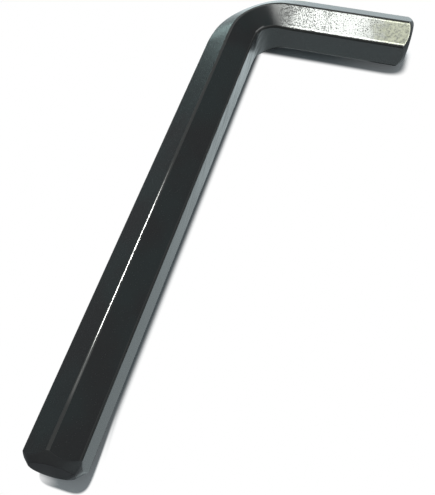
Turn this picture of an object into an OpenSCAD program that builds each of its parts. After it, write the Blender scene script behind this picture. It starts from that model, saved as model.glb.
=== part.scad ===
// Hexagon socket key: one length of hexagonal steel bar, bent once to an L.
// The key lies on a table with a corner of the bar downwards, so a flat of
// the bar faces straight into the crook of the bend.

/* [Bar] */
// Width of the bar across its flats, which is the size of the key
across_flats = 10; // [6:0.5:14]
// Rounding of the six long corners of the bar
corner_radius = 0.6; // [0.1:0.1:1]

/* [Arms] */
// Long arm over all, from the back of the bar to the end of the tip
long_arm = 115.2; // [80:0.2:240]
// Short arm over all, from the back of the bar to the end of the tip
short_arm = 43.8; // [35:0.2:75]

/* [Bend] */
// Radius of the bend on the inside, at the middle of the inner flat
inside_radius = 5; // [3:0.5:12]
// How far the stretched outer flat is drawn in at the middle of the bend
outer_draw = 1.5; // [0:0.1:2]
// How far the rest of the bar creeps towards the crook there
inner_creep = 0.3; // [0:0.1:0.5]
// How far the squeezed inner flat swells there, above and below
inner_swell = 0.7; // [0:0.1:1]
// How far the squeezed form runs out into each straight arm
squeeze_run_out = 3.5; // [1:0.5:6]

/* [Tips] */
// Depth of the long tip's turned chamfer at the corners of the bar
long_tip_chamfer = 1.8; // [0.6:0.1:2.2]
// Depth of the short tip's turned chamfer at the corners of the bar
short_tip_chamfer = 1.4; // [0.6:0.1:2.2]
// Slope of both chamfers against the axis of the tip
tip_chamfer_angle = 46; // [30:1:60]
// Rounding between a chamfer and its end face
tip_rounding = 0.4; // [0.1:0.1:0.8]
// Lean of the long tip, which is cut a little off square: its upper side further out
long_lean_up = -4.5; // [-8:0.5:8]
// Lean of the long tip: its side at the crook further out
long_lean_in = -5.5; // [-8:0.5:8]
// Lean of the short tip: its upper side further out
short_lean_up = 7.5; // [-8:0.5:8]
// Lean of the short tip: its side at the crook further out
short_lean_in = 3; // [-8:0.5:8]

/* [Hidden] */

// Flat chords that make each rounded corner, an even number
corner_steps = 4;
// Rings that the bend is lofted through
bend_steps = 40;
// Chords in a full turn of a tip
turn_steps = 72;
// Chords in a full circle of a tip's rounding
rounding_steps = 32;

half_flats = across_flats / 2;
half_side = half_flats * tan(30);
corner_reach = half_flats / cos(30);
// Highest point of a rounded corner above the axis of the bar
half_height = corner_reach - corner_radius * (1 / cos(30) - 1);
// Angle between neighbouring flats
hex_step = 60;

bend_radius = inside_radius + half_flats;
bend_angle = 90;
bend_arc = bend_radius * bend_angle * PI / 180;
bend_path = bend_arc + 2 * squeeze_run_out;

// Angle of a leaning end face against a square one
function whole_lean(up, inward) = acos(cos(up) * cos(inward));

// How far the outermost point of a leaning end face stands out past its middle
function overhang(chamfer, lean) =
    let (flat_radius = corner_reach - chamfer - tip_rounding * tan((90 - tip_chamfer_angle) / 2))
    flat_radius * sin(lean) + tip_rounding * (1 - cos(lean));

// From the crossing of the two arm axes to the middles of the end faces
long_reach = long_arm - half_flats - overhang(long_tip_chamfer, whole_lean(long_lean_up, long_lean_in));
short_reach =
    short_arm - half_flats - overhang(short_tip_chamfer, whole_lean(short_lean_up, short_lean_in));
// Length of raw bar past the middle of an end face, which the cut takes off
raw_length = 2;
// How far a cutting shape stands clear of what it cuts
cut_clearance = 1;
// Depth of the cut that shapes a tip, measured along the arm
cut_depth = 5;

steel_black = [0.11, 0.12, 0.12];

// One corner of the bar as a short arc, seen along the bar
function corner_arc(middle) = [
    for (i = [0:corner_steps])
        let (
            turn = middle + hex_step * (i / corner_steps - 0.5),
            centre = corner_reach - corner_radius / cos(30)
        )
        [
            centre * cos(middle) + corner_radius * cos(turn),
            centre * sin(middle) + corner_radius * sin(turn)
        ]
];

// Outline of the bar: x towards the crook, y up, with a corner at the top and at the bottom
bar_outline = [for (k = [0:5]) each corner_arc(90 + k * hex_step)];

// How strongly the bend has squeezed the bar at a share of the way through it, from 0 to 1
function squeeze(share) = pow(sin(180 * share), 2);

// A point of the outline where the bar is squeezed
function squeezed(p, amount) =
    let (
        outward = max(0, -p[0] / half_flats),
        inward = max(0, p[0] / half_flats),
        up = max(-1, min(1, p[1] / half_side))
    )
    [
        p[0] + amount * (inner_creep + (outer_draw - inner_creep) * outward),
        p[1] + amount * inner_swell * inward * up
    ];

// A point of the outline carried along the path, which runs up the long arm's axis,
// round the bend and out along the short arm's axis; way 0 is where the bend begins
function on_path(p, way) =
    way < 0 ? [p[0], way - bend_radius, p[1]]
    : way > bend_arc ? [way - bend_arc + bend_radius, -p[0], p[1]]
    : let (
        turn = way / bend_arc * bend_angle,
        radius = bend_radius - p[0]
    )
    [bend_radius - radius * cos(turn), radius * sin(turn) - bend_radius, p[1]];

// Places of the rings: the long raw end, the steps of the squeezed bend, the short raw end
ring_ways = [
    bend_radius - long_reach - raw_length,
    for (s = [0:bend_steps]) bend_path * s / bend_steps - squeeze_run_out,
    bend_arc + short_reach - bend_radius + raw_length
];
ring_squeezes = [0, for (s = [0:bend_steps]) squeeze(s / bend_steps), 0];

// The whole bar: its outline lofted through the rings, the sides closed by triangles
module bent_bar() {
    count = len(bar_outline);
    last = len(ring_ways) - 1;
    points = [
        for (r = [0:last])
            for (p = bar_outline)
                on_path(squeezed(p, ring_squeezes[r]), ring_ways[r])
    ];
    sides = [
        for (r = [0:last - 1])
            for (i = [0:count - 1])
                let (
                    near = r * count,
                    far = near + count,
                    next = (i + 1) % count
                )
                each [
                    [near + i, far + i, near + next],
                    [near + next, far + i, far + next]
                ]
    ];
    long_end = [for (i = [0:count - 1]) i];
    short_end = [for (i = [count - 1:-1:0]) last * count + i];
    polyhedron(points = points, faces = concat([long_end], sides, [short_end]));
}

// Half the side view of a finished tip: the arm comes from below and its face is at height 0
module tip_half(chamfer) {
    end_radius = corner_reach - chamfer;
    wide = corner_reach + 2 * cut_clearance;
    shoulder = (end_radius - wide) / tan(tip_chamfer_angle);
    intersection() {
        offset(r = tip_rounding, $fn = rounding_steps) offset(delta = -tip_rounding)
            polygon([
                [-wide, -2 * cut_depth],
                [wide, -2 * cut_depth],
                [wide, shoulder],
                [end_radius, 0],
                [-end_radius, 0],
                [-wide, shoulder]
            ]);
        translate([0, -cut_depth]) square([corner_reach + cut_clearance, cut_depth + cut_clearance]);
    }
}

// All that is cut off an arm to shape its tip, turned about the tip's own leaning axis
module tip_waste(chamfer, lean_up, lean_side) {
    rotate([lean_up, -lean_side, 0])
        rotate_extrude($fn = turn_steps)
            difference() {
                translate([0, -cut_depth])
                    square([corner_reach + cut_clearance, cut_depth + raw_length + cut_clearance]);
                tip_half(chamfer);
            }
}

module hex_key() {
    color(steel_black)
        translate([half_flats - short_arm / 2, long_arm / 2 - half_flats, half_height])
            difference() {
                bent_bar();
                translate([0, -long_reach, 0]) rotate([90, 0, 0])
                    tip_waste(long_tip_chamfer, long_lean_up, long_lean_in);
                translate([short_reach, 0, 0]) rotate([90, 0, 90])
                    tip_waste(short_tip_chamfer, short_lean_up, -short_lean_in);
            }
}

hex_key();
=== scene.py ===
"""A black hexagon key on a pale table: the bent bar, its oxide finish and the studio round it."""

import logging
from collections.abc import Callable
from dataclasses import dataclass, field
from enum import Enum
from math import acos, cos, hypot, pi, radians, sin, tan

import bpy
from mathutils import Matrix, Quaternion, Vector, noise


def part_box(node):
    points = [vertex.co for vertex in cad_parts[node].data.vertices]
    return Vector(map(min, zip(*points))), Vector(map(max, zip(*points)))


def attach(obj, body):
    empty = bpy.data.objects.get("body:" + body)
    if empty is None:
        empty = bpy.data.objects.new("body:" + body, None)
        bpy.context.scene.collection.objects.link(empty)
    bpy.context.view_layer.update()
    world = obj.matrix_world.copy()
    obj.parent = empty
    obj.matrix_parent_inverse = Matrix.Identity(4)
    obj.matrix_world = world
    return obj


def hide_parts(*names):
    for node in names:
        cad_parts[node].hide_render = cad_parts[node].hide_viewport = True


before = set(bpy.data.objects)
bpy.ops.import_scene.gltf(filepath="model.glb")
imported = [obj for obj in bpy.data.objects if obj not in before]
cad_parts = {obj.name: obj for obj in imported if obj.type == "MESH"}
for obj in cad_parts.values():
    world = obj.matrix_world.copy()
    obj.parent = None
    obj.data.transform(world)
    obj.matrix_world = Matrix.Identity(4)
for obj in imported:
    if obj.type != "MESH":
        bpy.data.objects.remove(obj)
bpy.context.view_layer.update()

LOG = logging.getLogger("hexagon_key")
MM = 0.001
KEY_NODE = "hex_key"
STRAIGHT_COORDS = "straight"
TURNED_SHARE = "turned"

CORNERS = 6
HEX_STEP = radians(60)
HALF_HEX_STEP = radians(30)

Point = tuple[float, float]
Place = tuple[float, float, float]
Colour = tuple[float, float, float]
# the value that gives 0 and the value that gives 1
Fade = tuple[float, float]
Term = "Wire | float"

PLAIN_WHITE: Colour = (1.0, 1.0, 1.0)
DIM_ROOM: Colour = (0.20, 0.22, 0.23)
OXIDE_IOR = 1.5
# sockets of the node that mixes colours
MIX_SHARE, MIX_FIRST, MIX_SECOND, MIX_RESULT = 0, 6, 7, 2
# direction in degrees of the corner below the inner flat, from the crook up
LOW_CORNER = -30.0


def mm(*sizes: float) -> tuple[float, ...]:
    """Turns millimetres into metres."""
    return tuple(size * MM for size in sizes)


# where a flat begins, against its distance from the axis
FLAT_EDGE: Fade = mm(-0.12, -0.03)


class Maths(Enum):
    """The sums that a wire can take part in."""

    ADD = "ADD"
    SUBTRACT = "SUBTRACT"
    MULTIPLY = "MULTIPLY"
    ABSOLUTE = "ABSOLUTE"
    SQUARE_ROOT = "SQRT"
    GREATEST = "MAXIMUM"
    LEAST = "MINIMUM"


class Tip(Enum):
    """The two ends of the bar, by the direction in which they point along it."""

    LONG = -1
    SHORT = 1


class Flat(Enum):
    """Flats of the bar, by the direction in degrees that each faces, from the crook up."""

    INNER = 0
    UPPER = 60
    BACK = 120


@dataclass(frozen=True)
class Speckle:
    """Cloudy noise about 0.5: clouds per unit, layers of finer clouds and how strong those are."""

    scale: float
    detail: float = 2.0
    harshness: float = 0.5


@dataclass(frozen=True)
class Stretch:
    """A stretch of one coordinate, which fades out over soft beyond low and high."""

    low: float
    high: float
    soft: float


@dataclass(frozen=True)
class TipCut:
    """How one tip is turned: a flat face inside a cone, on an axis that leans a little.

    Its places are x towards the crook, y up and z outwards from the middle of the face.
    """

    chamfer: float
    lean_up: float
    lean_in: float
    slope: float = radians(46)
    rounding: float = 0.4 * MM
    bow_rounding: float = 0.12 * MM
    halvings: int = 40

    @property
    def axis(self) -> Vector:
        """The direction in which the face looks."""
        up, inward = self.lean_up, self.lean_in
        return Vector((-cos(up) * sin(inward), -sin(up), cos(up) * cos(inward)))

    @property
    def setback(self) -> float:
        """From the sharp edge of the face to where its rounding ends."""
        return self.rounding * tan((pi / 2 - self.slope) / 2)

    def overhang(self, corner_reach: float) -> float:
        """How far the outermost point of the face stands out past its middle."""
        lean, flat_radius = acos(self.axis.z), corner_reach - self.chamfer - self.setback
        return flat_radius * sin(lean) + self.rounding * (1 - cos(lean))

    def depth_and_reach(self, spot: Vector) -> tuple[float, Vector]:
        """Depth of a place below the face, and its way out from the leaning axis."""
        depth = -spot.dot(self.axis)
        return depth, spot + depth * self.axis

    def meet(self, point: Point, corner_reach: float) -> Vector:
        """Where a line along the bar meets the cone.

        Args:
            point: the line's place in the section.
            corner_reach: from the bar's axis to a sharp corner.

        Returns:
            The meeting place.
        """
        outer, inner = corner_reach, -corner_reach
        for _ in range(self.halvings):
            back = (outer + inner) / 2
            depth, reach = self.depth_and_reach(Vector((*point, -back)))
            in_metal = reach.length < corner_reach - self.chamfer + depth * tan(self.slope)
            outer, inner = (back, inner) if in_metal else (outer, back)
        return Vector((*point, -outer))


def sum_method(kind: Maths, swapped: bool = False) -> Callable[..., "Wire"]:
    """Makes the method of a wire that adds one Math node.

    Args:
        kind: the sum.
        swapped: whether the wire itself is its second term.

    Returns:
        The method.
    """

    def method(wire: "Wire", other: Term = 0.0) -> "Wire":
        """Adds the node and returns its result."""
        terms = (other, wire) if swapped else (wire, other)
        return wire.recipe.add("ShaderNodeMath", {"operation": kind.value}, dict(enumerate(terms)))

    return method


@dataclass(frozen=True)
class Wire:
    """One socket of a node tree that takes part in sums.

    Attributes:
        recipe: the one that adds the nodes.
        socket: the output that carries the value.
    """

    recipe: "Recipe"
    socket: bpy.types.NodeSocket

    __add__ = sum_method(Maths.ADD)
    __radd__ = sum_method(Maths.ADD, swapped=True)
    __sub__ = sum_method(Maths.SUBTRACT)
    __rsub__ = sum_method(Maths.SUBTRACT, swapped=True)
    __mul__ = sum_method(Maths.MULTIPLY)
    __rmul__ = sum_method(Maths.MULTIPLY, swapped=True)
    root = sum_method(Maths.SQUARE_ROOT)
    size = sum_method(Maths.ABSOLUTE)
    greatest = sum_method(Maths.GREATEST)
    least = sum_method(Maths.LEAST)

    def rise(self, low: float, high: float) -> "Wire":
        """Rises smoothly from 0 at low to 1 at high.

        Args:
            low: the value that gives 0.
            high: the value that gives 1, which may be below low.

        Returns:
            The rising value.
        """
        if high < low:
            return 1.0 - self.rise(high, low)
        inputs = {"Value": self, "From Min": low, "From Max": high}
        return self.recipe.add("ShaderNodeMapRange", {"interpolation_type": "SMOOTHSTEP"}, inputs)

    def rise_from(self, origin: float, fade: Fade) -> "Wire":
        """Rises over a fade that is counted from an origin."""
        return self.rise(origin + fade[0], origin + fade[1])

    def band(self, on: Stretch) -> "Wire":
        """Is 1 on a stretch and fades to 0 on both sides."""
        return self.rise(on.low - on.soft, on.low) * self.rise(on.high + on.soft, on.high)


class Recipe:
    """The nodes of one material or world, added one after another."""

    def __init__(self, tree: bpy.types.NodeTree) -> None:
        """Empties the tree and keeps it."""
        self.tree = tree
        tree.nodes.clear()

    def add(
        self,
        kind: str,
        settings: dict[str, object] | None = None,
        inputs: dict[str | int, object] | None = None,
        output: str | int = 0,
    ) -> Wire:
        """Adds a node, sets it and links it.

        Args:
            kind: the node's type.
            settings: its own settings, which come first.
            inputs: values or wires of its sockets, by name or number.
            output: the socket handed back.

        Returns:
            That output's wire.
        """
        node = self.tree.nodes.new(kind)
        for name, value in (settings or {}).items():
            setattr(node, name, value)
        for key, value in (inputs or {}).items():
            if isinstance(value, Wire):
                self.tree.links.new(value.socket, node.inputs[key])
            else:
                node.inputs[key].default_value = value
        return Wire(self, node.outputs[output] if len(node.outputs) else None)

    def vector(self, x: Term, y: Term, z: Term) -> Wire:
        """Joins three values to a vector."""
        return self.add("ShaderNodeCombineXYZ", None, {0: x, 1: y, 2: z})

    def parts(self, place: Wire, count: int) -> tuple[Wire, ...]:
        """The first parts of a vector."""
        return tuple(self.add("ShaderNodeSeparateXYZ", None, {0: place}, axis) for axis in range(count))

    def light_path(self, name: str) -> Wire:
        """Is 1 for rays of the named kind."""
        return self.add("ShaderNodeLightPath", None, None, name)

    def noise(self, place: Wire, speckle: Speckle) -> Wire:
        """Cloudy noise about 0.5 at a place."""
        detail = {"Detail": speckle.detail, "Roughness": speckle.harshness}
        return self.add("ShaderNodeTexNoise", None, {"Vector": place, "Scale": speckle.scale, **detail})

    def blend(self, share: Term, first: Wire | Colour, second: Wire | Colour) -> Wire:
        """Mixes two colours, the second by its share.

        Args:
            share: of the second colour, from 0 to 1.
            first, second: the two colours.

        Returns:
            The mixed colour.
        """
        inputs = {MIX_SHARE: share}
        for socket, colour in ((MIX_FIRST, first), (MIX_SECOND, second)):
            inputs[socket] = colour if isinstance(colour, Wire) else (*colour, 1.0)
        return self.add("ShaderNodeMix", {"data_type": "RGBA"}, inputs, MIX_RESULT)


@dataclass(frozen=True)
class BarForm:
    """Sizes of the bent hexagonal bar, in metres, and the places of its points.

    A place in the bar is a point of its section, x towards the crook of the bend and y up,
    and the way along its axis, which is 0 where the bend begins and negative on the long arm.
    """

    long_arm: float
    short_arm: float
    axis_height: float
    across_flats: float = 10 * MM
    corner_radius: float = 0.6 * MM
    inside_radius: float = 5 * MM
    outer_draw: float = 1.5 * MM
    inner_creep: float = 0.3 * MM
    inner_swell: float = 0.7 * MM
    run_out: float = 3.5 * MM
    long_tip: TipCut = TipCut(1.8 * MM, radians(-4.5), radians(-5.5))
    short_tip: TipCut = TipCut(1.4 * MM, radians(7.5), radians(3))

    @classmethod
    def from_box(cls, low: Vector, high: Vector) -> "BarForm":
        """Takes both arms and the height of the axis from the solid's box."""
        return cls(high.y - low.y, high.x - low.x, (high.z - low.z) / 2)

    @property
    def half_flats(self) -> float:
        """From the axis to a flat."""
        return self.across_flats / 2

    @property
    def half_side(self) -> float:
        """Half the width of a flat with sharp corners."""
        return self.half_flats * tan(HALF_HEX_STEP)

    @property
    def corner_reach(self) -> float:
        """From the axis to a sharp corner."""
        return self.half_flats / cos(HALF_HEX_STEP)

    @property
    def bend_radius(self) -> float:
        """Radius of the axis in the bend."""
        return self.inside_radius + self.half_flats

    @property
    def bend_arc(self) -> float:
        """Length of the axis round the bend."""
        return self.bend_radius * pi / 2

    @property
    def long_end(self) -> float:
        """Way of the middle of the long tip's face."""
        reach = self.long_arm - self.half_flats - self.long_tip.overhang(self.corner_reach)
        return self.bend_radius - reach

    @property
    def short_end(self) -> float:
        """Way of the middle of the short tip's face."""
        reach = self.short_arm - self.half_flats - self.short_tip.overhang(self.corner_reach)
        return self.bend_arc + reach - self.bend_radius

    def tip(self, tip: Tip) -> tuple[TipCut, float]:
        """How a tip is turned and the way of the middle of its face."""
        return (self.long_tip, self.long_end) if tip is Tip.LONG else (self.short_tip, self.short_end)

    @property
    def crossing(self) -> Vector:
        """Where the axes of the two arms cross."""
        x, y = self.half_flats - self.short_arm / 2, self.long_arm / 2 - self.half_flats
        return Vector((x, y, self.axis_height))

    def outline(self, corner_steps: int, flat_steps: int) -> list[Point]:
        """The section's points, from the top corner round by the outer side.

        Args:
            corner_steps: chords in each rounded corner.
            flat_steps: chords in each flat.

        Returns:
            The points, anticlockwise.
        """
        arcs = [self.corner_arc(pi / 2 + k * HEX_STEP, corner_steps) for k in range(CORNERS)]
        points: list[Point] = []
        for k, arc in enumerate(arcs):
            (x0, y0), (x1, y1) = arc[-1], arcs[(k + 1) % CORNERS][0]
            # points crowd towards the corners, where the light turns
            shares = [(1 - cos(pi * i / flat_steps)) / 2 for i in range(1, flat_steps)]
            points += arc + [(x0 + s * (x1 - x0), y0 + s * (y1 - y0)) for s in shares]
        return points

    def corner_arc(self, middle: float, steps: int) -> list[Point]:
        """One rounded corner, seen along the bar.

        Args:
            middle: the corner's direction from the axis.
            steps: chords in its arc.

        Returns:
            The points of the arc.
        """
        centre = self.corner_reach - self.corner_radius / cos(HALF_HEX_STEP)
        turns = [middle + HEX_STEP * (i / steps - 0.5) for i in range(steps + 1)]
        return [
            tuple(centre * part(middle) + self.corner_radius * part(turn) for part in (cos, sin))
            for turn in turns
        ]

    def squeeze(self, way: float) -> float:
        """How strongly the bend has squeezed the bar at a way along it, from 0 to 1."""
        share = (way + self.run_out) / (self.bend_arc + 2 * self.run_out)
        return sin(pi * min(1.0, max(0.0, share))) ** 2

    def squeezed(self, point: Point, amount: float) -> Point:
        """Moves a point of the section as the bend does.

        Args:
            point: the point.
            amount: how strongly the bend squeezes it.

        Returns:
            The moved point.
        """
        x, y = point
        outward = max(0.0, -x / self.half_flats)
        inward = max(0.0, x / self.half_flats)
        up = max(-1.0, min(1.0, y / self.half_side))
        creep = self.inner_creep + (self.outer_draw - self.inner_creep) * outward
        return x + amount * creep, y + amount * self.inner_swell * inward * up

    def place(self, point: Point, way: float) -> Vector:
        """Where a point of the section lies in the part's frame.

        Args:
            point: the point of the section.
            way: its way along the bar.

        Returns:
            The place.
        """
        x, y = self.squeezed(point, self.squeeze(way))
        radius = self.bend_radius
        if way < 0:
            spot = Vector((x, way - radius, y))
        elif way > self.bend_arc:
            spot = Vector((way - self.bend_arc + radius, -x, y))
        else:
            turn = way / radius
            spot = Vector((radius - (radius - x) * cos(turn), (radius - x) * sin(turn) - radius, y))
        return self.crossing + spot


@dataclass(frozen=True)
class Ring:
    """One ring of the bar's skin: points of the section, and the way along the bar of each.

    Its turned share is 0 on the drawn flats and 1 on the turned chamfer and the end face.
    """

    points: list[Point]
    ways: list[float]
    turned: float


@dataclass
class BentBar:
    """The key itself, as one fine skin round the bent bar."""

    form: BarForm
    corner_steps: int = 6
    flat_steps: int = 12
    straight_step: float = 1.6 * MM
    bend_rings: int = 72
    rounding_steps: int = 4
    tip_gap: float = 0.4 * MM
    face_shares: tuple[float, ...] = (0.12, 0.4, 0.7, 0.9)
    ripple_height: float = 0.004 * MM
    ripple_length: float = 7 * MM
    flat_weight: int = 100
    outline: list[Point] = field(init=False)

    def __post_init__(self) -> None:
        """Works out the section once."""
        self.outline = self.form.outline(self.corner_steps, self.flat_steps)

    def tip_profile(self, cut: TipCut, point: Point) -> list[tuple[Vector, float]]:
        """Places from the middle of a tip's face out over its cone to one point of the flats.

        Args:
            cut: how the tip is turned.
            point: the point of the section.

        Returns:
            Each place with its turned share.
        """
        meeting = cut.meet(point, self.form.corner_reach)
        _, reach = cut.depth_and_reach(meeting)
        outward = reach.normalized()
        down_cone = sin(cut.slope) * outward - cos(cut.slope) * cut.axis
        edge = (self.form.corner_reach - cut.chamfer) * outward
        face = edge - cut.setback * outward
        back = Vector((0.0, 0.0, -cut.bow_rounding))
        steps = [(face * share, 1.0) for share in self.face_shares]
        steps += self.rounded(face, edge, edge + cut.setback * down_cone, (1.0, 1.0))
        steps += self.rounded(meeting - cut.bow_rounding * down_cone, meeting, meeting + back, (1.0, 0.0))
        return steps

    def rounded(
        self, start: Vector, corner: Vector, end: Vector, turned: tuple[float, float]
    ) -> list[tuple[Vector, float]]:
        """A small rounding as a curve over a corner.

        Args:
            start: where the rounding begins.
            corner: the sharp corner.
            end: where it ends.
            turned: the turned share at its start and end.

        Returns:
            Each place with its turned share.
        """
        steps = []
        for i in range(self.rounding_steps + 1):
            t = i / self.rounding_steps
            place = (1 - t) ** 2 * start + 2 * t * (1 - t) * corner + t**2 * end
            steps.append((place, turned[0] + (turned[1] - turned[0]) * t))
        return steps

    def tip_rings(self, tip: Tip) -> list[Ring]:
        """Rings of one tip from the middle of its face out to the flats.

        Each point of the section meets the chamfer's cone at its own distance from the end,
        so the cone cuts every flat in a bow.

        Args:
            tip: which end of the bar.

        Returns:
            The rings, from the face outwards.
        """
        cut, end = self.form.tip(tip)
        rings = []
        for step in zip(*(self.tip_profile(cut, point) for point in self.outline)):
            points = [(place.x, place.y) for place, _ in step]
            rings.append(Ring(points, [end + tip.value * place.z for place, _ in step], step[0][1]))
        return rings

    def arm_ways(self) -> list[float]:
        """Ways of the rings between the tips, closer together round the bend.

        Returns:
            The ways, from the long tip to the short one.
        """
        form = self.form
        bend_from, bend_to = -form.run_out, form.bend_arc + form.run_out
        long_from = max(self.tip_rings(Tip.LONG)[-1].ways) + self.tip_gap
        short_to = min(self.tip_rings(Tip.SHORT)[-1].ways) - self.tip_gap
        long_count = round((bend_from - long_from) / self.straight_step)
        short_count = round((short_to - bend_to) / self.straight_step)
        stretches = (
            (long_from, bend_from, long_count),
            (bend_from, bend_to, self.bend_rings),
            (bend_to, short_to, short_count),
        )
        ways = [low + (high - low) * i / count for low, high, count in stretches for i in range(count)]
        return [*ways, short_to]

    def rings(self) -> list[Ring]:
        """All rings from the long tip's face to the short tip's face."""
        middle = [Ring(self.outline, [way] * len(self.outline), 0.0) for way in self.arm_ways()]
        return self.tip_rings(Tip.LONG) + middle + self.tip_rings(Tip.SHORT)[::-1]

    def rippled(self, spot: Vector, point: Point, way: float) -> Vector:
        """Sinks a point a few thousandths of a millimetre, as no drawn bar is quite even.

        Args:
            spot: where the even point lies.
            point: its place in the section.
            way: its way along the bar.

        Returns:
            The sunk place.
        """
        seed = Vector((point[0], point[1], way)) / self.ripple_length
        depth = (0.5 + 0.5 * noise.noise(seed)) * self.ripple_height
        axis = self.form.place((0.0, 0.0), way)
        return spot + (axis - spot).normalized() * depth

    def build(self) -> bpy.types.Object:
        """Builds the skin and links it to the scene.

        Returns:
            The key, with its smooth flats and the coordinates that its finish needs.
        """
        rings, count = self.rings(), len(self.outline)
        spots: list[Vector] = []
        straights: list[float] = []
        turned: list[float] = []
        for ring in rings:
            for point, way in zip(ring.points, ring.ways):
                spots.append(self.rippled(self.form.place(point, way), point, way))
                straights += [point[0], point[1], way]
                turned.append(ring.turned)
        last = (len(rings) - 1) * count
        faces = [
            (near + i, near + count + i, near + count + (i + 1) % count, near + (i + 1) % count)
            for near in range(0, last, count)
            for i in range(count)
        ]
        for first, way, order in ((0, self.form.long_end, 1), (last, self.form.short_end, -1)):
            middle = len(spots)
            spots.append(self.form.place((0.0, 0.0), way))
            straights += [0.0, 0.0, way]
            turned.append(1.0)
            for i in range(count):
                pair = (first + i, first + (i + 1) % count)[::order]
                faces.append((*pair, middle))
        mesh = bpy.data.meshes.new("bent_bar")
        mesh.from_pydata(spots, [], faces)
        mesh.attributes.new(STRAIGHT_COORDS, "FLOAT_VECTOR", "POINT").data.foreach_set("vector", straights)
        mesh.attributes.new(TURNED_SHARE, "FLOAT", "POINT").data.foreach_set("value", turned)
        mesh.shade_smooth()
        mesh.validate()
        key = bpy.data.objects.new("bent_bar", mesh)
        bpy.context.collection.objects.link(key)
        even = key.modifiers.new("even_flats", "WEIGHTED_NORMAL")
        even.weight = self.flat_weight
        return key


@dataclass(frozen=True)
class Skin:
    """The places on the bar's skin, as wires of its finish.

    Straight is the place before the bend, whose parts are inward, up and way, and turned is 1
    on the turned tips and 0 on the drawn flats.
    """

    recipe: Recipe
    straight: Wire
    inward: Wire
    up: Wire
    way: Wire
    turned: Wire

    @classmethod
    def of(cls, recipe: Recipe) -> "Skin":
        """Reads the coordinates that the bar carries.

        Args:
            recipe: the finish's recipe.

        Returns:
            The places.
        """
        kind = "ShaderNodeAttribute"
        straight = recipe.add(kind, {"attribute_name": STRAIGHT_COORDS}, None, "Vector")
        turned = recipe.add(kind, {"attribute_name": TURNED_SHARE}, None, "Fac")
        return cls(recipe, straight, *recipe.parts(straight, 3), turned)

    def towards(self, degrees: float) -> Wire:
        """How far a place is from the bar's axis in one direction of its section."""
        turn = radians(degrees)
        return self.inward * cos(turn) + self.up * sin(turn)

    def across(self, flat: Flat) -> Wire:
        """How far a place is from the middle line of a flat."""
        return self.towards(flat.value - 90)

    def on_flat(self, form: BarForm, flat: Flat) -> Wire:
        """Is 1 on a flat."""
        return self.towards(flat.value).rise_from(form.half_flats, FLAT_EDGE)

    def reach(self) -> Wire:
        """How far a place is from the bar's axis."""
        return (self.inward * self.inward + self.up * self.up).root()

    def inside_cone(self, form: BarForm, tip: Tip) -> Wire:
        """How far a place lies inside the cone that is turned on a tip.

        Args:
            form: the bar's sizes.
            tip: the tip with the cone.

        Returns:
            The distance, 0 on the cone itself.
        """
        cut, end = form.tip(tip)
        place = (self.inward, self.up, (self.way - end) * tip.value)
        depth = 0.0 - sum(part * lean for part, lean in zip(place, cut.axis))
        away = [part + depth * lean for part, lean in zip(place, cut.axis)]
        reach = sum(part * part for part in away).root()
        radius = depth * tan(cut.slope) + (form.corner_reach - cut.chamfer)
        return (radius - reach) * cos(cut.slope)

    def noise(self, speckle: Speckle) -> Wire:
        """Cloudy noise along the unbent bar."""
        return self.recipe.noise(self.straight, speckle)


@dataclass(frozen=True)
class Grain:
    """Fine streaks that slant across the flats, and the rings that turning leaves on the tips.

    Both are counted per metre, the streaks in each of their three directions.
    """

    slant: float = radians(22)
    across: float = 5200.0
    along: float = 260.0
    inward: float = 4200.0
    rings: float = 7000.0

    def streaks(self, skin: Skin, fineness: float) -> Wire:
        """The streaks, about 0.5.

        Args:
            skin: places on the bar.
            fineness: how fine they are, where 1 is the grain's own.

        Returns:
            The streaks.
        """
        across = skin.up * cos(self.slant) - skin.way * sin(self.slant)
        along = skin.way * cos(self.slant) + skin.up * sin(self.slant)
        stretched = skin.recipe.vector(across * self.across, along * self.along, skin.inward * self.inward)
        return skin.recipe.noise(stretched, Speckle(fineness))

    def turning(self, skin: Skin) -> Wire:
        """The rings, about 0.5."""
        place = skin.recipe.vector(skin.reach() * self.rings, skin.way * self.rings, 0.0)
        return skin.recipe.noise(place, Speckle(1.0, 1.0))


@dataclass(frozen=True)
class OilFilm:
    """The film of oil on the inner flat by the bend, on the back past it and on the long tip.

    A _from or _to is where it begins or ends along the bar. On the inner flat it is thinnest
    between the grain's streaks, and on the back it is back_thick more in the bend.
    """

    form: BarForm
    grain: Grain
    inner_from: Fade = mm(-72, 0)
    inner_to: Fade = mm(11, 4)
    streak_size: float = 0.45
    streak_edge: Fade = (0.35, 0.60)
    thinnest: float = 0.15
    streaked: float = 0.90
    back_from: Fade = mm(3, 8)
    back_thin: float = 0.55
    back_thick: float = 0.4
    back_thins: Fade = mm(4, -2)
    tip_corner: Fade = mm(3.1, 3.5)
    tip_from: Fade = mm(-90, -95)

    def film(self, skin: Skin) -> Wire:
        """The thickness of the film, from 0 to 1.

        Args:
            skin: places on the bar.

        Returns:
            The thickness.
        """
        streaks = self.grain.streaks(skin, self.streak_size).rise(*self.streak_edge)
        inner = skin.on_flat(self.form, Flat.INNER) * (self.thinnest + self.streaked * streaks)
        inner = inner * skin.way.rise(*self.inner_from) * skin.way.rise(*self.inner_to)
        in_bend = skin.way.rise_from(self.form.bend_arc, self.back_thins)
        back = skin.on_flat(self.form, Flat.BACK) * (self.back_thin + self.back_thick * in_bend)
        back = back * skin.way.rise(*self.back_from)
        at_tip = skin.turned * skin.towards(LOW_CORNER).rise(*self.tip_corner)
        at_tip = at_tip * skin.way.rise(*self.tip_from)
        return inner.greatest(back).greatest(at_tip)


@dataclass(frozen=True)
class RimMark:
    """A worn stretch of a flat's rim, by its place across and along and how far it is worn."""

    across: Stretch
    along: Fade
    worn: float


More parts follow.
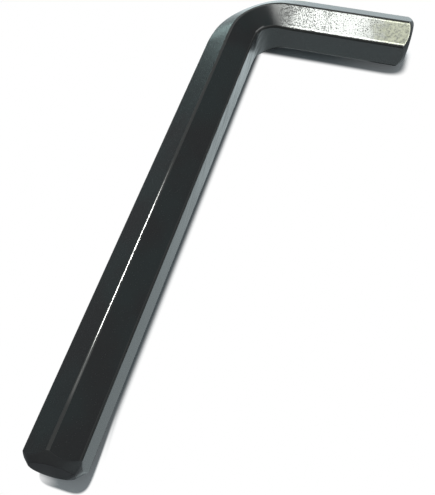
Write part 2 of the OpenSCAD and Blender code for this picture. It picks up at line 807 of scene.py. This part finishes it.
@dataclass(frozen=True)
class Wear:
    """Where the oxide is rubbed off to bare steel, or rubbed thin, and where bare steel paints highlights.

    A _from or _to is where a mark begins or ends along the bar, and a _worn how far the oxide
    is gone there. Chips break worn lines up, and ragged noise frays the start of thin oxide.
    The line on the top corner is worn bare and is also a painted highlight. It is top_width
    to each side at most, and dim at its dimmest.
    """

    form: BarForm
    chips: Speckle = Speckle(900.0, 4.0, 0.65)
    broken: Fade = (0.25, 0.45)
    off_turned: Fade = (0.6, 0.2)
    top_from: Fade = mm(-90, -84)
    top_to: Fade = mm(-36, -43)
    top_width: float = 0.19 * MM
    top_soft: float = 0.05 * MM
    highlight_from: Fade = mm(-83, -75)
    highlight_to: Fade = mm(-38, -54)
    dim: float = 0.24
    speck: Stretch = Stretch(*mm(-100.1, -99.8, 0.1))
    speck_width: float = 0.1 * MM
    # painted highlight: half-bare steel draws a light line along the lower corner of the short arm's inner
    # flat
    low_crest: Fade = mm(5.60, 5.64)
    low_highlight_share: float = 0.5
    low_from: Fade = mm(-3, 2)
    low_to: Fade = mm(38, 36)
    crook_rim: RimMark = RimMark(Stretch(*mm(2.20, 2.32, 0.08)), mm(-1, 4), 0.35)
    top_rim: RimMark = RimMark(Stretch(*mm(-2.34, -2.28, 0.08)), mm(-14, -8), 0.3)
    # painted highlight: a crescent of part-bare steel in the bend by the crook
    crescent_highlight: Stretch = Stretch(*mm(2.34, 2.50, 0.12))
    crescent_highlight_way: Stretch = Stretch(*mm(4, 7, 1.5))
    crescent_highlight_share: float = 0.25
    round_rim: Fade = mm(0.20, 0.08)
    round_worn: float = 0.45
    round_before: float = 4 * MM
    thin_face: Stretch = Stretch(*mm(-2.6, 2.3, 0.2))
    thin_from: Fade = mm(-10.5, -3.5)
    ragged: Speckle = Speckle(700.0, 4.0, 0.65)
    ragged_by: float = 7 * MM

    def bare(self, skin: Skin) -> Wire:
        """Where the oxide is rubbed off to the bare steel, and where bare steel paints highlights.

        Args:
            skin: places on the bar.

        Returns:
            Bare steel, from 0 to 1.
        """
        chips = skin.noise(self.chips)
        # painted highlight: a light line of half-bare steel along the lower corner of the short arm's inner
        # flat
        low_corner_highlight = skin.towards(LOW_CORNER).rise(*self.low_crest) * self.low_highlight_share
        begun = skin.way.rise_from(self.form.bend_arc, self.low_from)
        low_corner_highlight = low_corner_highlight * begun * skin.way.rise(*self.low_to)
        return self.top(skin, chips).greatest(self.rim(skin, chips)).greatest(low_corner_highlight)

    def top(self, skin: Skin, chips: Wire) -> Wire:
        """The long arm's top corner, worn along its middle, where it also paints the corner's highlight, and
        a speck by the tip.

        Args:
            skin: places on the bar.
            chips: the noise that breaks the line up.

        Returns:
            Its wear.
        """
        line = skin.way.rise(*self.top_from) * skin.way.rise(*self.top_to)
        speck = skin.way.band(self.speck)
        half_width = line * chips * self.top_width + speck * self.speck_width
        # painted highlight: the line is barest where the corner's highlight falls, and fades towards both
        # ends
        bright = skin.way.rise(*self.highlight_from) * skin.way.rise(*self.highlight_to)
        worn_highlight = (self.dim + (1.0 - self.dim) * bright).greatest(speck)
        worn_highlight = worn_highlight * (half_width - skin.inward.size()).rise(0.0, self.top_soft)
        return worn_highlight * skin.up.rise(0.0, self.form.half_side)

    def rim(self, skin: Skin, chips: Wire) -> Wire:
        """The rim of the short arm's upper flat: along the crook and round the tip, with a painted highlight
        in the bend.

        Args:
            skin: places on the bar.
            chips: the noise that breaks the rim up.

        Returns:
            Its wear.
        """
        form, across = self.form, skin.across(Flat.UPPER)
        rim = skin.inside_cone(form, Tip.SHORT).rise(*self.round_rim) * self.round_worn
        rim = rim * skin.way.rise(form.bend_arc, form.short_end - self.round_before)
        for mark, origin in ((self.crook_rim, form.bend_arc), (self.top_rim, form.short_end)):
            side = across.band(mark.across) * skin.way.rise_from(origin, mark.along)
            rim = rim.greatest(side * mark.worn)
        rim = rim * chips.rise(*self.broken)
        # painted highlight: a crescent of part-bare steel in the bend by the crook
        crescent_highlight = across.band(self.crescent_highlight) * skin.way.band(self.crescent_highlight_way)
        rim = rim.greatest(crescent_highlight * self.crescent_highlight_share)
        return rim * skin.on_flat(form, Flat.UPPER) * skin.turned.rise(*self.off_turned)

    def thin(self, skin: Skin) -> Wire:
        """Thin oxide, rubbed olive on the short arm's upper flat by its tip.

        Args:
            skin: places on the bar.

        Returns:
            Thin oxide, from 0 to 1.
        """
        ragged_way = skin.way + (skin.noise(self.ragged) - 0.5) * self.ragged_by
        face = skin.across(Flat.UPPER).band(self.thin_face) * skin.on_flat(self.form, Flat.UPPER)
        begun = ragged_way.rise_from(self.form.short_end, self.thin_from)
        return face * begun * (1.0 - skin.turned)


@dataclass(frozen=True)
class Gloss:
    """Roughness of oxide, of bare steel, and what each mark adds to that of oxide.

    The edges lack the handled share of their own by the end of the worn line.
    """

    plain: float = 0.26
    bare: float = 0.34
    mottle: float = 0.03
    pits: float = 0.42
    past_bend: float = 0.12
    in_bend: float = -0.11
    turned: float = 0.20
    thin: float = 0.22
    edges: float = 0.60
    handled: float = 0.35


@dataclass(frozen=True)
class Marks:
    """Bare steel, which also paints highlights, thin oxide, pits and rounded corners, each as a wire from 0
    to 1.
    """

    bare: Wire
    thin: Wire
    pits: Wire
    edges: Wire


@dataclass(frozen=True)
class BlackOxide:
    """Black oxide on drawn steel: grained flats, small pits, and corners worn bright, some of them painted
    highlights.

    Teal lies in wide clouds, soot on the rounded corners and olive where the oxide is thin.
    Pits are the peaks of specks, which drifts gather; they are closest along close_pits, and
    stray_pits deep off the short arm's upper flat. That flat is duller past_bend and glossier
    in_bend. The depths of crease and pits are against the grain's.
    """

    form: BarForm
    grain: Grain = Grain()
    gloss: Gloss = Gloss()
    black: Colour = (0.0140, 0.0142, 0.0144)
    teal: Colour = (0.0140, 0.0185, 0.0186)
    turned_black: Colour = (0.0200, 0.0200, 0.0205)
    soot: Colour = (0.0040, 0.0045, 0.0046)
    bare: Colour = (0.62, 0.62, 0.60)
    olive: Colour = (0.44, 0.45, 0.30)
    olive_least: float = 0.30
    tint: Speckle = Speckle(90.0, 3.0)
    tint_edge: Fade = (0.35, 0.65)
    clouds: Speckle = Speckle(1700.0, 5.0, 0.65)
    cloud_edge: Fade = (0.36, 0.60)
    mottle: Speckle = Speckle(3200.0)
    specks: Speckle = Speckle(4600.0, 2.0, 0.55)
    pit_edge: Fade = (0.56, 0.66)
    drifts: Speckle = Speckle(260.0)
    drifting: float = 0.20
    close_pits: Stretch = Stretch(*mm(16, 25, 5))
    closer: float = 0.065
    stray_pits: float = 0.03
    pits_before: float = 4 * MM
    past_bend: Stretch = Stretch(*mm(13, 16, 3))
    in_bend: Stretch = Stretch(*mm(-2, 11.5, 3))
    handled: Stretch = Stretch(*mm(-87, -82, 4))
    edge_soft: float = 0.02 * MM
    crease_middle: float = -1.85 * MM
    crease_lean: float = 0.38
    crease_edge: Fade = mm(0.22, 0.06)
    crease_side: Fade = mm(4.8, 4.95)
    crease_depth: float = 2.5
    pit_depth: float = 0.15
    relief_height: float = 0.012 * MM
    relief_share: float = 0.28

    def dress(self, key: bpy.types.Object) -> None:
        """Gives the key its finish.

        Args:
            key: the key's skin.
        """
        material = bpy.data.materials.new("black_oxide")
        material.use_nodes = True
        recipe = Recipe(material.node_tree)
        skin = Skin.of(recipe)
        wear = Wear(self.form)
        marks = Marks(wear.bare(skin), wear.thin(skin), self.pits(skin), self.edges(skin))
        shader = recipe.add(
            "ShaderNodeBsdfPrincipled",
            None,
            {
                "Base Color": self.colour(skin, marks),
                "Metallic": marks.bare,
                "Roughness": self.roughness(skin, marks),
                "IOR": OXIDE_IOR,
                "Coat Weight": OilFilm(self.form, self.grain).film(skin),
                "Coat Roughness": self.gloss.plain,
                "Normal": self.relief(skin, marks.pits),
            },
        )
        recipe.add("ShaderNodeOutputMaterial", None, {"Surface": shader})
        key.data.materials.append(material)

    def colour(self, skin: Skin, marks: Marks) -> Wire:
        """The colours of oxide, soot, thin oxide and bare steel.

        Args:
            skin: places on the bar.
            marks: what shows where.

        Returns:
            The colour.
        """
        blend = skin.recipe.blend
        oxide = blend(skin.noise(self.tint).rise(*self.tint_edge), self.black, self.teal)
        oxide = blend(skin.turned, oxide, self.turned_black)
        clouds = skin.noise(self.clouds).rise(*self.cloud_edge)
        thinned = marks.thin * (self.olive_least + (1.0 - self.olive_least) * clouds)
        colour = blend(marks.bare, blend(thinned, oxide, self.olive), self.bare)
        return blend(marks.edges * (1.0 - marks.bare), colour, self.soot)

    def roughness(self, skin: Skin, marks: Marks) -> Wire:
        """The roughness, which every mark changes.

        Args:
            skin: places on the bar.
            marks: what shows where.

        Returns:
            The roughness.
        """
        gloss = self.gloss
        past_bend, in_bend = skin.way.band(self.past_bend), skin.way.band(self.in_bend)
        upper_flat = gloss.past_bend * past_bend + gloss.in_bend * in_bend
        oxide = gloss.plain + gloss.mottle * (skin.noise(self.mottle) - 0.5) + gloss.pits * marks.pits
        oxide = oxide + upper_flat * skin.on_flat(self.form, Flat.UPPER)
        dull_edges = marks.edges * (1.0 - gloss.handled * skin.way.band(self.handled))
        oxide = oxide + gloss.turned * skin.turned + gloss.thin * marks.thin + gloss.edges * dull_edges
        return oxide * (1.0 - marks.bare) + gloss.bare * marks.bare

    def edges(self, skin: Skin) -> Wire:
        """Is 1 on the six rounded corners, where the oxide is thick and dull.

        Args:
            skin: places on the bar.

        Returns:
            The corners.
        """
        form = self.form
        side = form.half_side - form.corner_radius * tan(HALF_HEX_STEP)
        rounding_from = hypot(form.half_flats, side)
        rounded = skin.reach().rise(rounding_from - self.edge_soft, rounding_from + self.edge_soft)
        return rounded * (1.0 - skin.turned)

    def pits(self, skin: Skin) -> Wire:
        """Small pits in the flats, in loose drifts, closest on the short arm by the bend.

        Args:
            skin: places on the bar.

        Returns:
            Their depth, from 0 to 1.
        """
        form = self.form
        short_arm = skin.way.rise(form.bend_arc - self.pits_before, form.bend_arc)
        short_flat = short_arm * skin.on_flat(form, Flat.UPPER)
        peaks = skin.noise(self.specks) + self.drifting * (skin.noise(self.drifts) - 0.5)
        peaks = peaks + self.closer * (skin.way.band(self.close_pits) * short_flat)
        depth = self.stray_pits + (1.0 - self.stray_pits) * short_flat
        return peaks.rise(*self.pit_edge) * depth * (1.0 - skin.turned)

    def crease(self, skin: Skin) -> Wire:
        """The fine crease across the inner flat where the bend begins."""
        beside = (skin.way + self.crease_lean * skin.up - self.crease_middle).size()
        return beside.rise(*self.crease_edge) * skin.inward.rise(*self.crease_side)

    def relief(self, skin: Skin, pits: Wire) -> Wire:
        """The normal with slanting grain on the flats, rings on the turned tips, and pits.

        Args:
            skin: places on the bar.
            pits: the depth of the pits.

        Returns:
            The normal.
        """
        height = self.grain.streaks(skin, 1.0) * (1.0 - skin.turned)
        height = height + self.grain.turning(skin) * skin.turned
        height = height - self.pit_depth * pits - self.crease_depth * self.crease(skin)
        inputs = {"Height": height, "Strength": self.relief_share, "Distance": self.relief_height}
        return skin.recipe.add("ShaderNodeBump", None, inputs)


@dataclass(frozen=True)
class Shade:
    """The key's shade on the table, with its outline drawn by the distance from the key's two axes.

    It is full up to full_to and gone from gone_from on, and inside it the lamps shade the paper.
    It is blunt about the insets inside both tips, and drawn out at the short one. By the long
    tip it drifts to the right, has a crisp edge, and fades to the left and before the tip. Past
    the tips a little painted white lightens it.
    """

    form: BarForm
    full_to: float = 4.25 * MM
    gone_from: float = 5.7 * MM
    long_inset: float = 3.5 * MM
    short_inset: float = 7.4 * MM
    short_softness: float = 0.66
    drift: float = 0.45 * MM
    drift_along: Fade = mm(12, -2)
    crisp_edge: Fade = mm(4.4, 4.9)
    crisp_along: Fade = mm(22, 4)
    fades_left: Fade = mm(1, -6)
    fades_before: Fade = mm(1, -0.5)
    # painted light: the least share of plain white mixed into the shade, which lightens it by the tips
    least_painted_white: float = 0.06
    painted_white_right: Fade = mm(2, 18)

    @staticmethod
    def blunt(off: Wire, past: Wire) -> Wire:
        """How far a place is from an axis that ends, with blunt corners round its end."""
        off_square, past_square = off * off, past * past
        return (off_square * off_square + past_square * past_square).root().root()

    def beside_key(self, x: Wire, y: Wire) -> Wire:
        """How far a place on the table is from the key's two axes.

        Args:
            x, y: the place on the table.

        Returns:
            The distance, which rounds the bend on its outer side.
        """
        form, crossing = self.form, self.form.crossing
        right, left = form.short_arm / 2 - self.short_inset, crossing.x
        low, high = self.long_inset - form.long_arm / 2, crossing.y
        past_long = (low - y).greatest(y - high).greatest(0.0)
        past_short = (left - x).greatest(self.short_softness * (x - right)).greatest(0.0)
        drifted = self.drift * y.rise_from(low, self.drift_along)
        off_long, off_short = x - crossing.x - drifted, y - crossing.y
        to_long, to_short = self.blunt(off_long, past_long), self.blunt(off_short, past_short)
        round_x = (form.bend_radius - off_long).greatest(0.0)
        round_y = (off_short + form.bend_radius).greatest(0.0)
        outside = (round_x * round_x + round_y * round_y).root() - form.bend_radius
        return to_long.least(to_short).greatest(outside)

    def clear(self, x: Wire, y: Wire) -> Wire:
        """Is 0 in the full shade and 1 clear of it.

        Args:
            x, y: the place on the table.

        Returns:
            The share of plain white.
        """
        beside, tip_end = self.beside_key(x, y), -self.form.long_arm / 2
        by_tip = y.rise_from(tip_end, self.crisp_along)
        crisp = beside.rise(*self.crisp_edge).greatest(self.least_painted_white) * by_tip
        clear = beside.rise(self.full_to, self.gone_from).greatest(crisp)
        left = x.rise_from(self.form.crossing.x, self.fades_left)
        left_of_tip = left * y.rise_from(tip_end, self.fades_before)
        return clear.greatest(left_of_tip).greatest(self.least_painted_white * x.rise(*self.painted_white_right))


@dataclass(frozen=True)
class Table:
    """The pale table, plain white to the camera but for the key's shade.

    In what shines it shows its sheen, a painted reflection that dims to the room on the left and to
    near_sheen before the long tip, where a painted dark patch begins.
    """

    form: BarForm
    size: float = 6.0
    # painted shade: the paper's own colour is darker and bluer than the plain white the camera sees
    # elsewhere; it shows only in the key's shade, which it darkens and tints blue
    paper: Colour = (0.74, 0.80, 0.83)
    sheen: Colour = (0.85, 0.97, 1.0)
    room: Colour = DIM_ROOM
    # painted reflection: a dark colour that the table shows only in what shines, before the long tip
    painted_dark_reflection: Colour = (0.15, 0.16, 0.17)
    dims_left: Fade = mm(-40, -85)
    near_sheen: float = 0.84
    painted_dark_front: Fade = mm(-57.6, -59.0)
    painted_dark_right: float = 13 * MM
    painted_dark_fade: float = 4 * MM

    def lay(self) -> None:
        """Lays the table's top, far wider than the key."""
        half = self.size / 2
        corners = [(x, y, 0.0) for x, y in ((-half, -half), (half, -half), (half, half), (-half, half))]
        mesh = bpy.data.meshes.new("table")
        mesh.from_pydata(corners, [], [(0, 1, 2, 3)])
        table = bpy.data.objects.new("table", mesh)
        bpy.context.collection.objects.link(table)
        table.data.materials.append(self.finish())

    def mirrored(self, recipe: Recipe, x: Wire, y: Wire) -> Wire:
        """The table as the key shows it: a painted reflection with a dark patch before the long tip.

        Args:
            recipe: the table's recipe.
            x, y: the place on the table.

        Returns:
            Its colour.
        """
        # painted reflection: in what shines the table dims to the room on the left, darkens towards the long
        # tip and is dark before it
        sheen = recipe.blend(x.rise(*self.dims_left), self.sheen, self.room)
        dimmed = 1.0 - (1.0 - self.near_sheen) * y.rise(0.0, self.painted_dark_front[0])
        sheen = recipe.blend(dimmed, self.painted_dark_reflection, sheen)
        right = self.form.crossing.x + self.painted_dark_right
        on_painted_dark = y.rise(*self.painted_dark_front) * x.rise(right, right - self.painted_dark_fade)
        return recipe.blend(on_painted_dark, sheen, self.painted_dark_reflection)

    def finish(self) -> bpy.types.Material:
        """White paper that shows the key's shade near it and plain white further off.

        Returns:
            The material.
        """
        material = bpy.data.materials.new("paper")
        material.use_nodes = True
        recipe = Recipe(material.node_tree)
        rays = ("Is Camera Ray", "Is Glossy Ray", "Is Transmission Ray")
        camera, glossy, through = (recipe.light_path(name) for name in rays)
        seen = camera.greatest(glossy).greatest(through)
        x, y = recipe.parts(recipe.add("ShaderNodeNewGeometry", None, None, "Position"), 2)
        white = recipe.blend(camera, self.mirrored(recipe, x, y), PLAIN_WHITE)
        diffuse = recipe.add("ShaderNodeBsdfDiffuse", None, {"Color": (*self.paper, 1.0)})
        glow = recipe.add("ShaderNodeEmission", None, {"Color": white, "Strength": 1.0})
        plain = seen * Shade(self.form).clear(x, y)
        both = recipe.add("ShaderNodeMixShader", None, {0: plain, 1: diffuse, 2: glow})
        recipe.add("ShaderNodeOutputMaterial", None, {"Surface": both})
        return material


@dataclass(frozen=True)
class Softbox:
    """A lamp with an even face, width by length, that hangs at its place and looks at its aim.

    Its glow is the brightness of its face, where 1 is white. One that lights nothing only
    shows in what shines.
    """

    name: str
    place: Place
    aim: Place
    width: float
    length: float
    glow: float
    tint: Colour = PLAIN_WHITE
    lights: bool = True

    def hang(self) -> None:
        """Adds the lamp, which the camera doesn't see."""
        data = bpy.data.lights.new(self.name, "AREA")
        data.shape = "RECTANGLE"
        data.size, data.size_y = self.width, self.length
        data.energy = self.glow * pi * self.width * self.length
        data.color = self.tint
        lamp = bpy.data.objects.new(self.name, data)
        lamp.location = self.place
        look = Vector(self.aim) - Vector(self.place)
        lamp.rotation_mode = "QUATERNION"
        lamp.rotation_quaternion = look.to_track_quat("-Z", "Y")
        lamp.visible_camera = False
        lamp.visible_diffuse = self.lights
        bpy.context.collection.objects.link(lamp)


@dataclass(frozen=True)
class Studio:
    """The dim room above the table and its lamps, of which sheen shows only in what shines."""

    room: Colour = DIM_ROOM
    main: Softbox = Softbox("main_softbox", (-0.07, 0.245, 0.60), (-0.017, 0.0, 0.0), 0.17, 0.24, 32.0)
    sheen: Softbox = Softbox(
        "sheen_softbox", (-0.085, -0.065, 0.60), (0.0, 0.05, 0.0), 0.13, 0.17, 60.0, (0.96, 1.0, 0.95), False
    )
    back: Softbox = Softbox(
        "back_softbox", (-0.31, 0.625, 0.05), (-0.01, 0.05, 0.01), 0.4, 0.1, 5.8, (0.72, 1.0, 0.98)
    )

    def set_up(self) -> None:
        """Hangs the lamps and dims the room."""
        for softbox in (self.main, self.sheen, self.back):
            softbox.hang()
        self.dim_room()

    def dim_room(self) -> None:
        """Sets the world to the dim room, which the camera sees plain white."""
        world = bpy.data.worlds.new("room")
        world.use_nodes = True
        bpy.context.scene.world = world
        recipe = Recipe(world.node_tree)
        colour = recipe.blend(recipe.light_path("Is Camera Ray"), self.room, PLAIN_WHITE)
        glow = recipe.add("ShaderNodeBackground", None, {"Color": colour, "Strength": 1.0})
        recipe.add("ShaderNodeOutputWorld", None, {"Surface": glow})


@dataclass(frozen=True)
class Viewpoint:
    """The photograph's camera, fitted to the straight edges of the bar.

    Its place and aim are counted from where the axes of the key's arms cross, and it leans
    to its right. Its lens and sensor are in millimetres.
    """

    crossing: Vector
    place: Vector = Vector((39.73, -121.04, 107.40)) * MM
    aim: Vector = Vector((11.63, -59.62, -5.68)) * MM
    lean: float = radians(7.961)
    lens: float = 47.906
    sensor: float = 36.0
    nearest: float = 0.005
    furthest: float = 10.0

    def set_up(self) -> None:
        """Makes the camera and looks through it."""
        data = bpy.data.cameras.new("camera")
        data.sensor_fit = "AUTO"
        data.sensor_width = self.sensor
        data.lens = self.lens
        data.clip_start = self.nearest
        data.clip_end = self.furthest
        camera = bpy.data.objects.new("camera", data)
        camera.location = self.crossing + self.place
        camera.rotation_mode = "QUATERNION"
        look = (self.aim - self.place).to_track_quat("-Z", "Y")
        camera.rotation_quaternion = look @ Quaternion((0.0, 0.0, 1.0), -self.lean)
        bpy.context.collection.objects.link(camera)
        bpy.context.scene.camera = camera


def main() -> None:
    """Builds the key and its studio, and reports each piece."""
    logging.basicConfig(level=logging.INFO, format="%(message)s")
    scene = bpy.context.scene
    scene.view_settings.view_transform = "Standard"
    low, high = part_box(KEY_NODE)
    form = BarForm.from_box(Vector(low), Vector(high))
    key = BentBar(form).build()
    BlackOxide(form).dress(key)
    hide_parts(KEY_NODE)
    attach(key, "root")
    LOG.info("%s: %d faces", key.name, len(key.data.polygons))
    Table(form).lay()
    LOG.info("table: white paper with the key's shade")
    Studio().set_up()
    LOG.info("studio: softboxes and room")
    Viewpoint(form.crossing).set_up()
    LOG.info("camera at %s", tuple(round(v, 4) for v in scene.camera.location))


if __name__ == "__main__":
    main()
